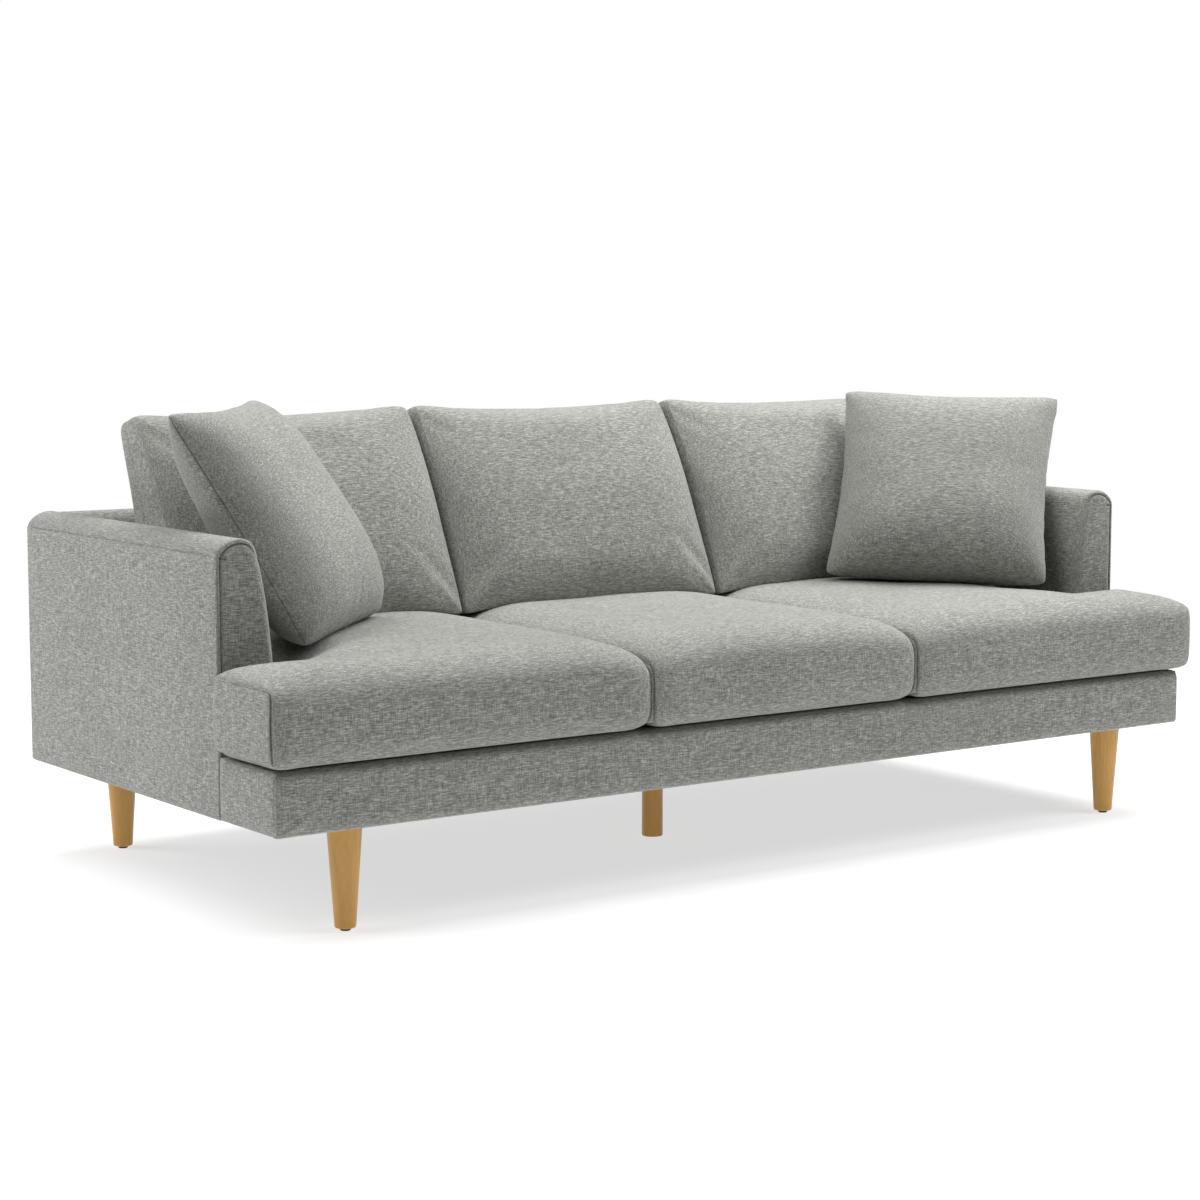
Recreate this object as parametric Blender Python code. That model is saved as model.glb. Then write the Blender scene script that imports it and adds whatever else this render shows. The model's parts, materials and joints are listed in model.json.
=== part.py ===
"""Three-seat sofa with loose cushions and turned wooden legs.

Frame: metres, +X to the sitter's left, +Y to the back, +Z up.  The origin is on the
floor under the middle of the sofa's box.  Every piece is its own closed solid; pieces
that touch keep a gap of GAP.
"""
import math

import bmesh
import bpy
from mathutils import Matrix, Vector

# ---- driving dimensions -------------------------------------------------------------
GAP = 0.0003                 # left between two pieces that touch
CLEARANCE = 0.0005           # left between a cover and what it lies beside
OVERCUT = 0.02               # a cutter's reach past what it cuts
CRISP, SOFT = 35, 60         # angle in degrees above which a rigid, and a soft, piece's edges stay sharp
HALF_WIDTH = 1.100           # upholstered body, half of its 2.20 m
BACK_Y = 0.511               # outer face of the back
BASE_FRONT_Y = -0.484        # front of the base
ARM_FRONT_Y = -0.285         # front of the arms
BASE_BOTTOM_Z = 0.187        # underside of the upholstery
BASE_TOP_Z = 0.300           # platform that the seat cushions stand on
SHOULDER_Z = 0.645           # where an arm's outer side meets its rounded top
SIDE_FOOT = 0.124            # thickness of arm and back at the platform
SIDE_TOP = 0.088             # thickness of arm and back under the rounded top
TOP_CURVE = ((0.0, 0.0), (0.005, 0.031), (0.075, 0.055), (SIDE_TOP, -0.005))   # depth, height over shoulder
INNER_CURVE = ((SIDE_TOP, -0.005), (SIDE_FOOT - 0.008, -0.105))                # the same, down the inside
TOP_FACETS, INNER_FACETS = 8, 5
SKIN = 0.012                 # cover with its padding
TIMBER = 0.025               # thickness of a rail
DUST_COVER = 0.0015          # thickness of the cloth under the base
RAIL_TOP_Z = 0.285
CROSS_TOP_Z = 0.262
CROSS_X = 0.36               # of the rails across the base, either side of the middle one
BLOCK_SIZE = (0.05, 0.062, 0.05)     # a corner block: reach past its leg's middle, depth, height
POST_IN, POST_OUT = 0.065, 0.015     # an arm post's two faces, in from the body's side
POST_DEPTH = 0.03
POST_TOP_Z = 0.609
TOP_RAIL_TOP_Z = 0.634
BACK_POST_HALF = 0.03
PASSAGE_Y = 0.450            # front of the opening that lets the back's rail into an arm
BASE_ROUNDING = 0.014        # of the base's top front edge
BASE_ROUNDING_FACETS = 4
SIDE_COVER_BEVEL = 0.004

LEG_X = 0.935
LEG_FRONT_Y = -0.429
LEG_BACK_Y = 0.448
LEG_CENTRE_Y = -0.069
LEG_TOP_RADIUS = 0.0315
LEG_FOOT_RADIUS = 0.019
CENTRE_LEG_RADIUS = 0.0215
GLIDE_HEIGHT = 0.005
GLIDE_RADIUS = 0.0095
BOLT_RADIUS = 0.004
BOLT_LOW_Z = 0.152
BOLT_HIGH_Z = 0.225
HOLE_Z = (0.10, 0.30)        # ends of the drill that clears a bolt
LEG_EASE = 0.0015            # chamfer at a leg's foot
GLIDE_EASE = 0.001
LEG_FACETS, GLIDE_FACETS, BOLT_FACETS = 24, 16, 12

SPRING_WIRE = 0.0019
SPRING_HALF_WAVE = 0.024
SPRING_Z = 0.2765
SPRING_TURNS = 14
SPRING_END = 0.004           # from a spring's end to the rail
SPRING_X = (-0.82, -0.50, -0.16, 0.16, 0.50, 0.82)
SPRING_TURN = ((0.75, 0.2), (1.0, 0.5), (0.75, 0.8))   # one half wave: share of its width, of its length

SEAT_FRONT_Y = -0.511
SEAT_BACK_Y = 0.382
SEAT_UNDER_GAP = 0.0013      # between a seat cushion and the platform
SEAT_EDGE_Z = 0.430
SEAT_CROWN = 0.038
JOINT_X = 0.3245             # plane between the middle and the outer cushions
JOINT_GAP = 0.001            # each cushion's distance from that plane
SEAT_SIDE_X = 0.9725
EAR_X = 1.116
EAR_BACK_Y = -0.2895
SEAT_ROUNDING = 0.032
SEAT_CELLS = (6, 7, 2, 5)    # across; deep in the middle; deep beside the ear; deep behind it
CROWN_POWER = 4              # the higher, the flatter a cushion's middle
BEVEL_ABOVE = 50             # degrees: edges that stick out by more are rounded

BACK_CUSHION_SIDE_X = 0.9585
BACK_CUSHION_HEIGHT = 0.426
BACK_CUSHION_DEPTH = 0.205
BACK_CUSHION_LEAN = math.radians(17.0)
BACK_CUSHION_CENTRE = (0.279, 0.6715)      # y and z of its middle
BACK_CUSHION_PULL = 0.02                   # how far its sides are pulled in, as a share
BACK_CUSHION_CELLS = (12, 10)

SCATTER_SIZE = 0.484
SCATTER_DEPTH = 0.150
SCATTER_PULL = 0.045
SCATTER_POWER = 2.6
SCATTER_CELLS = 10
# middle; turn, lean and roll in degrees
SCATTER_LEFT = ((-0.819, 0.002, 0.686), 42.3, 31.3, -1.5)
SCATTER_RIGHT = ((0.846, -0.014, 0.682), -46.4, 34.9, 1.8)

# ---- finishes: colour, roughness, metallic ------------------------------------------
FINISHES = {
    "linen": ((0.33, 0.33, 0.31), 0.95, 0.0),
    "beech": ((0.50, 0.27, 0.08), 0.42, 0.0),
    "pine": ((0.56, 0.40, 0.22), 0.75, 0.0),
    "spring_steel": ((0.35, 0.35, 0.37), 0.40, 1.0),
    "bolt_steel": ((0.60, 0.58, 0.52), 0.35, 1.0),
    "felt": ((0.12, 0.12, 0.12), 0.98, 0.0),
    "glide_plastic": ((0.03, 0.03, 0.03), 0.60, 0.0),
}


def clear_scene():
    for obj in list(bpy.data.objects):
        bpy.data.objects.remove(obj, do_unlink=True)


def make_material(name, finish):
    colour, roughness, metallic = FINISHES[finish]
    mat = bpy.data.materials.new(name + "_" + finish)
    mat.use_nodes = True
    shader = mat.node_tree.nodes["Principled BSDF"]
    shader.inputs["Base Color"].default_value = (*colour, 1.0)
    shader.inputs["Roughness"].default_value = roughness
    shader.inputs["Metallic"].default_value = metallic
    mat.diffuse_color = (*colour, 1.0)
    return mat


def face_outwards(bm):
    bmesh.ops.recalc_face_normals(bm, faces=bm.faces)
    if bm.calc_volume(signed=True) < 0:
        bmesh.ops.reverse_faces(bm, faces=bm.faces)


def add_piece(name, bm, finish, location=(0, 0, 0), rotation=None, parent=None, smooth=None):
    """Turns bm into an object; smooth is the angle in degrees above which edges stay sharp."""
    mesh = bpy.data.meshes.new(name)
    face_outwards(bm)
    bm.to_mesh(mesh)
    bm.free()
    if smooth is not None:
        mesh.shade_smooth()
        mesh.set_sharp_from_angle(angle=math.radians(smooth))
    obj = bpy.data.objects.new(name, mesh)
    obj.location = location
    if rotation is not None:
        obj.rotation_euler = rotation
    mesh.materials.append(make_material(name, finish))
    bpy.context.collection.objects.link(obj)
    if parent is not None:
        obj.parent = parent
    return obj


def add_empty(name, location):
    empty = bpy.data.objects.new(name, None)
    empty.location = location
    empty.empty_display_size = 0.05
    bpy.context.collection.objects.link(empty)
    return empty


# ---- shapes -------------------------------------------------------------------------
def box_mesh(x, y, z):
    bm = bmesh.new()
    bmesh.ops.create_cube(bm, size=1.0)
    for v in bm.verts:
        v.co.x = x[0] if v.co.x < 0 else x[1]
        v.co.y = y[0] if v.co.y < 0 else y[1]
        v.co.z = z[0] if v.co.z < 0 else z[1]
    return bm


def add_box(name, x, y, z, finish):
    return add_piece(name, box_mesh(x, y, z), finish)


def prism_mesh(outline, place, start, end):
    """Extrudes a flat outline from start to end; place(a, b, along) gives the 3-D point."""
    bm = bmesh.new()
    low = [bm.verts.new(place(a, b, start)) for a, b in outline]
    high = [bm.verts.new(place(a, b, end)) for a, b in outline]
    bm.faces.new(low)
    bm.faces.new(high)
    for i in range(len(outline)):
        j = (i + 1) % len(outline)
        bm.faces.new((low[i], low[j], high[j], high[i]))
    return bm


def turned_mesh(profile, segments):
    """Turns a profile of (radius, z) points, with both ends on the axis, about Z."""
    bm = bmesh.new()
    rings = []
    for radius, z in profile:
        count = 1 if radius == 0 else segments
        angles = [2 * math.pi * i / segments for i in range(count)]
        rings.append([bm.verts.new((radius * math.cos(a), radius * math.sin(a), z)) for a in angles])
    for ring, above in zip(rings, rings[1:]):
        for i in range(segments):
            j = (i + 1) % segments
            corners = [ring[i % len(ring)], ring[j % len(ring)],
                       above[j % len(above)], above[i % len(above)]]
            bm.faces.new(list(dict.fromkeys(corners)))
    return bm


def cut(obj, name, bm, location=(0, 0, 0)):
    """Cuts the mesh bm out of obj with an exact Boolean."""
    cutter = add_piece(name, bm, "felt", location)
    cutter.hide_render = True
    cutter.display_type = "WIRE"
    modifier = obj.modifiers.new(name, "BOOLEAN")
    modifier.operation = "DIFFERENCE"
    modifier.solver = "EXACT"
    modifier.object = cutter


def bezier(points, steps):
    """Points along a Bezier curve of any order, without its last point."""
    order = len(points) - 1
    curve = []
    for k in range(steps):
        t = k / steps
        weights = [math.comb(order, i) * t**i * (1 - t)**(order - i) for i in range(order + 1)]
        curve.append(tuple(sum(w * p[axis] for w, p in zip(weights, points)) for axis in (0, 1)))
    return curve


def side_outline(inset=0.0):
    """Section through an arm or the back, as (depth in from the outer face, height)."""
    top = [(depth, SHOULDER_Z + height) for depth, height in TOP_CURVE]
    inner = [(depth, SHOULDER_Z + height) for depth, height in INNER_CURVE] + [(SIDE_FOOT, BASE_TOP_Z)]
    outline = [(0.0, BASE_BOTTOM_Z)] + bezier(top, TOP_FACETS) + bezier(inner, INNER_FACETS)
    outline += [(SIDE_FOOT, BASE_TOP_Z), (SIDE_FOOT, BASE_BOTTOM_Z)]
    return shrink(outline, inset) if inset else outline


def shrink(outline, inset):
    """Moves each point of a clockwise outline inwards, square to its neighbours' chord."""
    moved = []
    for i, (a, b) in enumerate(outline):
        before, after = outline[i - 1], outline[(i + 1) % len(outline)]
        da, db = after[0] - before[0], after[1] - before[1]
        length = math.hypot(da, db)
        moved.append((a + inset * db / length, b - inset * da / length))
    return moved


def ridge_depth():
    """Depth of the side section's highest point."""
    return max(side_outline(), key=lambda point: point[1])[0]


def above_platform(outline):
    """The part of a section's outline that is clear of the platform."""
    return [(depth, z) for depth, z in outline if z > BASE_TOP_Z + SKIN]


def cavity_outline():
    """Hollow of the side section: open below, with no inner wall under the platform."""
    arch = above_platform(side_outline(SKIN))
    inner, past = SIDE_FOOT - SKIN, SIDE_FOOT + OVERCUT
    under, low = BASE_TOP_Z + GAP, BASE_BOTTOM_Z - OVERCUT
    return [(SKIN, low)] + arch + [(inner, under), (past, under), (past, low)]


def pillow_mesh(width, height, depth, pull, squareness, columns, rows):
    """A knife-edged pillow: two crowned sheets that share their rim, sides pulled in."""
    bm = bmesh.new()

    def point(i, j, side):
        u, v = 2 * i / columns - 1, 2 * j / rows - 1
        bulge = ((1 - abs(u)**squareness) * (1 - abs(v)**squareness)) ** 0.5
        x = width / 2 * u * (1 - pull * (1 - v * v))
        z = height / 2 * v * (1 - pull * (1 - u * u))
        return (x, side * depth / 2 * bulge, z)

    sheets = []
    for side in (-1, 1):
        sheet = {}
        for i in range(columns + 1):
            for j in range(rows + 1):
                rim = i in (0, columns) or j in (0, rows)
                sheet[i, j] = sheets[0][i, j] if rim and sheets else bm.verts.new(point(i, j, side))
        sheets.append(sheet)
    for sheet, flip in zip(sheets, (False, True)):
        for i in range(columns):
            for j in range(rows):
                quad = [sheet[i, j], sheet[i + 1, j], sheet[i + 1, j + 1], sheet[i, j + 1]]
                bm.faces.new(quad[::-1] if flip else quad)
    return bm


def slab_mesh(x_lines, y_lines, keep, top):
    """A slab over the cells of a grid that keep(x, y) accepts, with its top at top(x, y)."""
    bm = bmesh.new()
    floor = BASE_TOP_Z + SEAT_UNDER_GAP
    low, high = {}, {}
    cells = []
    for i in range(len(x_lines) - 1):
        for j in range(len(y_lines) - 1):
            if keep((x_lines[i] + x_lines[i + 1]) / 2, (y_lines[j] + y_lines[j + 1]) / 2):
                cells.append([(i, j), (i + 1, j), (i + 1, j + 1), (i, j + 1)])
    for cell in cells:
        for i, j in cell:
            if (i, j) not in low:
                x, y = x_lines[i], y_lines[j]
                low[i, j] = bm.verts.new((x, y, floor))
                high[i, j] = bm.verts.new((x, y, top(x, y)))
        bm.faces.new([low[c] for c in reversed(cell)])
        bm.faces.new([high[c] for c in cell])
    rim = {}
    for cell in cells:
        for a, b in zip(cell, cell[1:] + cell[:1]):
            if rim.pop((b, a), None) is None:
                rim[a, b] = True
    for a, b in rim:
        bm.faces.new((low[a], low[b], high[b], high[a]))
    mark_outer_edges(bm)
    return bm


def mark_outer_edges(bm):
    """Gives a bevel weight to the edges that stick out, and none to an inside corner."""
    face_outwards(bm)
    weight = bm.edges.layers.float.new("bevel_weight_edge")
    for edge in bm.edges:
        if edge.is_convex and edge.calc_face_angle() > math.radians(BEVEL_ABOVE):
            edge[weight] = 1.0


# ---- timber frame -------------------------------------------------------------------
def build_frame():
    inside_x = HALF_WIDTH - SKIN - GAP * 2
    front = BASE_FRONT_Y + SKIN + GAP * 2
    back = BACK_Y - SKIN - GAP * 2
    bottom = BASE_BOTTOM_Z + DUST_COVER + GAP
    rails = (bottom, RAIL_TOP_Z)
    add_box("front_rail", (-inside_x, inside_x), (front, front + TIMBER), rails, "pine")
    add_box("back_rail", (-inside_x, inside_x), (back - TIMBER, back), rails, "pine")
    between = (front + TIMBER + GAP, back - TIMBER - GAP)
    for side, sign in (("left", -1), ("right", 1)):
        rail_x = sorted((sign * (inside_x - TIMBER), sign * inside_x))
        add_box("side_rail_" + side, rail_x, between, rails, "pine")
    for side, x in (("left", -CROSS_X), ("centre", 0.0), ("right", CROSS_X)):
        cross_x = (x - TIMBER / 2, x + TIMBER / 2)
        rail = add_box("cross_rail_" + side, cross_x, between, (bottom, CROSS_TOP_Z), "pine")
        if side == "centre":
            drill(rail, 0, LEG_CENTRE_Y)
    for side, sign in (("left", -1), ("right", 1)):
        build_corner_blocks(side, sign, inside_x - TIMBER - GAP, between, bottom)


def build_corner_blocks(side, sign, outer_x, between, bottom):
    """The two blocks at one side that the legs' bolts go up through."""
    reach, depth, height = BLOCK_SIZE
    block_x = sorted((sign * (LEG_X - reach), sign * outer_x))
    block_z = (bottom, bottom + height)
    for end, leg_y, block_y in (("front", LEG_FRONT_Y, (between[0], between[0] + depth)),
                                ("back", LEG_BACK_Y, (between[1] - depth, between[1]))):
        block = add_box("corner_block_%s_%s" % (end, side), block_x, block_y, block_z, "pine")
        drill(block, sign * LEG_X, leg_y)


def drill(obj, x, y):
    """A clearance hole for a leg's bolt."""
    low, high = HOLE_Z
    radius = BOLT_RADIUS + GAP
    hole = turned_mesh([(0, low), (radius, low), (radius, high), (0, high)], BOLT_FACETS)
    cut(obj, "hole_%s_%d_%d" % (obj.name, round(x * 1000), round(y * 1000)), hole, (x, y, 0))


def build_arm_and_back_frame():
    front = ARM_FRONT_Y + SKIN + CLEARANCE
    back = BACK_Y - SKIN - 4 * CLEARANCE
    post_z = (RAIL_TOP_Z + GAP, POST_TOP_Z)
    rail_z = (POST_TOP_Z + GAP, TOP_RAIL_TOP_Z)
    for side, sign in (("left", -1), ("right", 1)):
        x = sorted(sign * (HALF_WIDTH - inset) for inset in (POST_IN, POST_OUT))
        add_box("arm_front_post_" + side, x, (front, front + POST_DEPTH), post_z, "pine")
        add_box("arm_back_post_" + side, x, (back - POST_DEPTH, back), post_z, "pine")
        add_box("arm_top_rail_" + side, x, (front, back), rail_z, "pine")
    centre_x = (-BACK_POST_HALF, BACK_POST_HALF)
    add_box("back_centre_post", centre_x, (back - POST_DEPTH, back), post_z, "pine")
    reach = HALF_WIDTH - POST_IN - GAP
    add_box("back_top_rail", (-reach, reach), (back - POST_DEPTH, back), rail_z, "pine")


def build_springs():
    start = BASE_FRONT_Y + SKIN + TIMBER + SPRING_END
    end = BACK_Y - SKIN - TIMBER - SPRING_END
    pitch = (end - start) / SPRING_TURNS
    for number, x in enumerate(SPRING_X, 1):
        curve = bpy.data.curves.new("seat_spring_%d" % number, "CURVE")
        curve.dimensions = "3D"
        curve.bevel_depth = SPRING_WIRE
        curve.bevel_resolution = 0
        curve.use_fill_caps = True
        curve.resolution_u = 1
        curve.render_resolution_u = 0
        spline = curve.splines.new("POLY")
        points = spring_points(x, start, pitch)
        spline.points.add(len(points) - 1)
        for point, place in zip(spline.points, points):
            point.co = (*place, 1.0)
        spring = bpy.data.objects.new(curve.name, curve)
        curve.materials.append(make_material(curve.name, "spring_steel"))
        bpy.context.collection.objects.link(spring)


def spring_points(x, start, pitch):
    """A zigzag spring: each half wave is a straight run across and a short run along."""
    points = [(x, start, SPRING_Z)]
    for turn in range(SPRING_TURNS):
        side = 1 if turn % 2 else -1
        y = start + pitch * turn
        for share_x, share_y in SPRING_TURN:
            points.append((x + side * SPRING_HALF_WAVE * share_x, y + pitch * share_y, SPRING_Z))
    points.append((x, start + pitch * SPRING_TURNS, SPRING_Z))
    return points


# ---- covers -------------------------------------------------------------------------
def arm_place(sign):
    """Puts a point of an arm's section at y, on the arm at one side."""
    return lambda depth, z, y: (sign * (HALF_WIDTH - depth), y, z)


def build_arms():
    inset, foot = SKIN + 2 * GAP, BASE_TOP_Z + CLEARANCE
    panel = [(inset, foot)] + above_platform(side_outline(inset)) + [(SIDE_FOOT - inset, foot)]
    passage_y = (PASSAGE_Y, BACK_Y - SKIN - 2 * CLEARANCE)
    passage_z = (BASE_BOTTOM_Z + SKIN, TOP_RAIL_TOP_Z + 4 * CLEARANCE)
    passage_depths = (POST_IN + CLEARANCE, SIDE_FOOT + OVERCUT)
    for side, sign in (("left", -1), ("right", 1)):
        place = arm_place(sign)
        cover = add_piece("arm_cover_" + side,
                          prism_mesh(side_outline(), place, ARM_FRONT_Y, BACK_Y), "linen", smooth=CRISP)
        cut(cover, "arm_cavity_" + side,
            prism_mesh(cavity_outline(), place, ARM_FRONT_Y - OVERCUT, BACK_Y - SKIN))
        passage_x = sorted(sign * (HALF_WIDTH - depth) for depth in passage_depths)
        cut(cover, "rail_passage_" + side, box_mesh(passage_x, passage_y, passage_z))
        add_piece("arm_front_panel_" + side,
                  prism_mesh(panel, place, ARM_FRONT_Y - 3 * CLEARANCE, ARM_FRONT_Y + SKIN),
                  "linen", smooth=CRISP)


def build_back():
    def place(depth, z, x):
        return (x, BACK_Y - depth, z)

    reach = HALF_WIDTH - ridge_depth()
    cover = add_piece("back_cover", prism_mesh(side_outline(), place, -reach, reach), "linen", smooth=CRISP)
    cut(cover, "back_cavity", prism_mesh(cavity_outline(), place, -HALF_WIDTH, HALF_WIDTH))
    for side, sign in (("left", -1), ("right", 1)):
        shape = prism_mesh(side_outline(-CLEARANCE), arm_place(sign), ARM_FRONT_Y, BACK_Y + OVERCUT)
        cut(cover, "arm_shape_" + side, shape)


def build_base_covers():
    front, top, back = BASE_FRONT_Y, BASE_TOP_Z, ARM_FRONT_Y - 4 * CLEARANCE
    outline = [(front, BASE_BOTTOM_Z)]
    for k in range(BASE_ROUNDING_FACETS + 1):
        angle = math.pi * (1 - k / (2 * BASE_ROUNDING_FACETS))
        outline.append((front + BASE_ROUNDING * (1 + math.cos(angle)),
                        top - BASE_ROUNDING * (1 - math.sin(angle))))
    outline += [(back, top), (back, top - SKIN), (front + SKIN, top - SKIN), (front + SKIN, BASE_BOTTOM_Z)]
    reach = HALF_WIDTH - SKIN - GAP
    add_piece("base_front_cover", prism_mesh(outline, lambda y, z, x: (x, y, z), -reach, reach),
              "linen", smooth=CRISP)
    for side, sign in (("left", -1), ("right", 1)):
        panel_x = sorted((sign * (HALF_WIDTH - SKIN), sign * HALF_WIDTH))
        panel = add_box("base_side_cover_" + side, panel_x, (front, ARM_FRONT_Y - GAP),
                        (BASE_BOTTOM_Z, top), "linen")
        bevel = panel.modifiers.new("soft_edges", "BEVEL")
        bevel.width = SIDE_COVER_BEVEL
        bevel.segments = 2


def build_deck_and_dust_cover():
    inner_x = HALF_WIDTH - SIDE_FOOT - CLEARANCE
    deck_y = (ARM_FRONT_Y - 3 * CLEARANCE, BACK_Y - SIDE_FOOT - CLEARANCE)
    add_box("seat_deck", (-inner_x, inner_x), deck_y, (BASE_TOP_Z - SKIN, BASE_TOP_Z - GAP), "felt")
    inset = SKIN + 2 * CLEARANCE
    cover = add_box("dust_cover", (inset - HALF_WIDTH, HALF_WIDTH - inset),
                    (BASE_FRONT_Y + inset, BACK_Y - inset),
                    (BASE_BOTTOM_Z, BASE_BOTTOM_Z + DUST_COVER), "felt")
    for x, y in leg_places():
        drill(cover, x, y)


# ---- legs ---------------------------------------------------------------------------
def leg_places():
    corners = [(sign * LEG_X, y) for y in (LEG_FRONT_Y, LEG_BACK_Y) for sign in (-1, 1)]
    return corners + [(0.0, LEG_CENTRE_Y)]


def leg_profile(foot_z, foot_radius, top_radius):
    """A leg with a bore for its bolt, from the floor up and back down the bore."""
    top = BASE_BOTTOM_Z - GAP
    bore, bore_end = BOLT_RADIUS + GAP, BOLT_LOW_Z - 2 * CLEARANCE
    return [(0, foot_z), (foot_radius - LEG_EASE, foot_z), (foot_radius, foot_z + LEG_EASE),
            (top_radius, top), (bore, top), (bore, bore_end), (0, bore_end)]


def build_legs():
    glide = [(0, 0), (GLIDE_RADIUS - GLIDE_EASE, 0), (GLIDE_RADIUS, GLIDE_EASE),
             (GLIDE_RADIUS, GLIDE_HEIGHT), (0, GLIDE_HEIGHT)]
    bolt = [(0, BOLT_LOW_Z), (BOLT_RADIUS, BOLT_LOW_Z), (BOLT_RADIUS, BOLT_HIGH_Z), (0, BOLT_HIGH_Z)]
    names = ("front_left", "front_right", "back_left", "back_right", "centre")
    for name, (x, y) in zip(names, leg_places()):
        if name == "centre":
            profile = leg_profile(0.0, CENTRE_LEG_RADIUS, CENTRE_LEG_RADIUS)
        else:
            profile = leg_profile(GLIDE_HEIGHT + GAP, LEG_FOOT_RADIUS, LEG_TOP_RADIUS)
            add_turned("glide_" + name, glide, GLIDE_FACETS, "glide_plastic", x, y)
        add_turned("leg_" + name, profile, LEG_FACETS, "beech", x, y)
        add_turned("leg_bolt_" + name, bolt, BOLT_FACETS, "bolt_steel", x, y)


def add_turned(name, profile, facets, finish, x, y):
    add_piece(name, turned_mesh(profile, facets), finish, (x, y, 0), smooth=CRISP)


# ---- cushions -----------------------------------------------------------------------
def spread(start, end, cells):
    return [start + (end - start) * k / cells for k in range(cells + 1)]


def seat_top(centre_x, half_x):
    centre_y = (SEAT_FRONT_Y + SEAT_BACK_Y) / 2
    half_y = (SEAT_BACK_Y - SEAT_FRONT_Y) / 2

    def top(x, y):
        u = min(1.0, abs(x - centre_x) / half_x)
        v = min(1.0, abs(y - centre_y) / half_y)
        return SEAT_EDGE_Z + SEAT_CROWN * math.sqrt((1 - u**CROWN_POWER) * (1 - v**CROWN_POWER))
    return top


def seat_slab(side):
    """The middle cushion is a plain slab; an outer one has an ear in front of its arm."""
    across, deep, beside, behind = SEAT_CELLS
    if side == "centre":
        half = JOINT_X - JOINT_GAP
        x_lines, y_lines = spread(-half, half, across), spread(SEAT_FRONT_Y, SEAT_BACK_Y, deep)
        return slab_mesh(x_lines, y_lines, lambda x, y: True, seat_top(0.0, half))
    sign = -1 if side == "left" else 1
    inner, outer = JOINT_X + JOINT_GAP, SEAT_SIDE_X
    x_lines = sorted(sign * x for x in spread(inner, outer, across) + [EAR_X])
    y_lines = spread(SEAT_FRONT_Y, EAR_BACK_Y, beside) + spread(EAR_BACK_Y, SEAT_BACK_Y, behind)[1:]
    return slab_mesh(x_lines, y_lines, lambda x, y: abs(x) < SEAT_SIDE_X or y < EAR_BACK_Y,
                     seat_top(sign * (inner + outer) / 2, (outer - inner) / 2))


def add_seat_cushion(side, parent):
    cushion = add_piece("seat_cushion_" + side, seat_slab(side), "linen", parent=parent, smooth=SOFT)
    bevel = cushion.modifiers.new("rounding", "BEVEL")
    bevel.width = SEAT_ROUNDING
    bevel.segments = 3
    bevel.limit_method = "WEIGHT"
    return cushion


def add_back_cushion(side, parent):
    y, z = BACK_CUSHION_CENTRE
    inner, outer = JOINT_X + JOINT_GAP, BACK_CUSHION_SIDE_X
    width, x = outer - inner, (outer + inner) / 2
    if side == "centre":
        width, x = 2 * (JOINT_X - JOINT_GAP), 0.0
    elif side == "left":
        x = -x
    mesh = pillow_mesh(width, BACK_CUSHION_HEIGHT, BACK_CUSHION_DEPTH, BACK_CUSHION_PULL,
                       CROWN_POWER, *BACK_CUSHION_CELLS)
    return add_piece("back_cushion_" + side, mesh, "linen", (x, y, z),
                     (-BACK_CUSHION_LEAN, 0, 0), parent, smooth=SOFT)


def add_scatter_cushion(side, parent):
    centre, turn, lean, roll = SCATTER_LEFT if side == "left" else SCATTER_RIGHT
    rotation = (Matrix.Rotation(math.radians(turn), 3, "Z")
                @ Matrix.Rotation(-math.radians(lean), 3, "X")
                @ Matrix.Rotation(math.radians(roll), 3, "Y")).to_euler()
    mesh = pillow_mesh(SCATTER_SIZE, SCATTER_SIZE, SCATTER_DEPTH, SCATTER_PULL,
                       SCATTER_POWER, SCATTER_CELLS, SCATTER_CELLS)
    return add_piece("scatter_cushion_" + side, mesh, "linen", centre, rotation, parent, smooth=SOFT)


def build_cushions():
    for side in ("left", "centre", "right"):
        add_seat_cushion(side, add_empty("seat_%s_lift" % side, (0, 0, 0)))
        add_back_cushion(side, add_empty("back_%s_lift" % side, (0, 0, 0)))
        if side != "centre":
            add_scatter_cushion(side, add_empty("scatter_%s_lift" % side, (0, 0, 0)))


def build():
    clear_scene()
    build_frame()
    build_arm_and_back_frame()
    build_springs()
    build_arms()
    build_back()
    build_base_covers()
    build_deck_and_dust_cover()
    build_legs()
    build_cushions()


build()
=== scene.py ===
import json
import math

import bmesh
import bpy
import numpy as np
from mathutils import Matrix, Vector, noise


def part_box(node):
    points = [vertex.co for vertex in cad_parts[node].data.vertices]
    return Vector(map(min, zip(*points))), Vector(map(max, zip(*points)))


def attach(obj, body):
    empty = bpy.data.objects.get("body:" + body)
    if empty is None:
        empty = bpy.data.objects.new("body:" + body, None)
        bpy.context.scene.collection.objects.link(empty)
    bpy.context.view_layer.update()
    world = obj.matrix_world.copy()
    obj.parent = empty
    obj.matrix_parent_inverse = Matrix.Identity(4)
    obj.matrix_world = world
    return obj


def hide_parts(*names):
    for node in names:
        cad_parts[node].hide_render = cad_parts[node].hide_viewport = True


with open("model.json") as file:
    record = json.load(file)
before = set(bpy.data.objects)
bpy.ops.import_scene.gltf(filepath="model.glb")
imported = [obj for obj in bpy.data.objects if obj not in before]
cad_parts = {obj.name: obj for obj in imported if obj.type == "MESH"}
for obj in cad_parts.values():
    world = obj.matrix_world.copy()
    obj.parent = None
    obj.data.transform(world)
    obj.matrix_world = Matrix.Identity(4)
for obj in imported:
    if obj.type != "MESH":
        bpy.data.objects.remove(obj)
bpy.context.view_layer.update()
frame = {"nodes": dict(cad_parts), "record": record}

# ---- the CAD's places, which everything below is worked out from ---------------------
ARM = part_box("arm_cover_left")
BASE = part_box("base_front_cover")
HALF_WIDTH = -ARM[0][0]
BACK_Y = ARM[1][1]
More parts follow.
